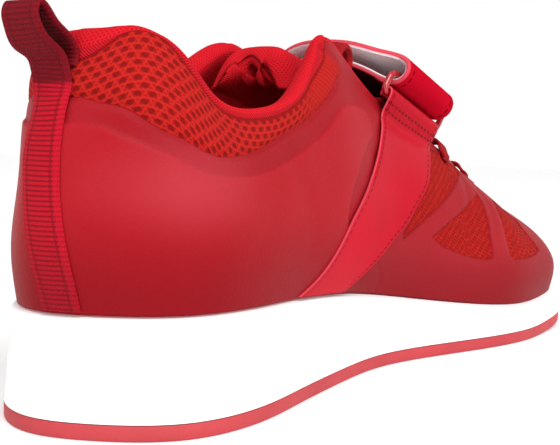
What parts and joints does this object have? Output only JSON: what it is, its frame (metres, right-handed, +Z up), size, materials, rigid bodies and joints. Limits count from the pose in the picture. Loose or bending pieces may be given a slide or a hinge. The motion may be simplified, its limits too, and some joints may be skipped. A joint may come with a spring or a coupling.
{
  "type": "weightlifting shoe",
  "caption": "Low-cut raised-heel lifting shoe for the left foot, with a padded collar, instep strap through a ring, and a heel pull loop.",
  "frame": {"origin": "on the floor under the middle of the heel seat, 40 mm ahead of the heel's back", "axes": "+X along the shoe towards the toe, -Y towards the inner (medial) side, +Z up from the floor"},
  "size_m": [0.3048, 0.1037, 0.1204],
  "materials": {
    "outsole_rubber": "matte red rubber",
    "midsole_foam": "smooth white moulded",
    "upper_leather": "fine grain, satin",
    "lining": "fine knit",
    "strap_leather": "smooth satin",
    "webbing": "ribbed webbing",
    "ring": "gloss enamel",
    "lace": "flat woven"
  },
  "bodies": {
    "root": {"outsole": "outsole_rubber", "midsole": "midsole_foam", "insole": "lining", "upper": "upper_leather", "tongue": "lining", "strap_anchor_inner": "strap_leather", "strap": "strap_leather", "strap_ring": "ring", "pull_loop": "webbing", "lace_bar_1": "lace", "lace_bar_2": "lace", "lace_bar_3": "lace", "lace_bar_4": "lace", "throat_loop": "lace"}
  },
  "joints": []
}
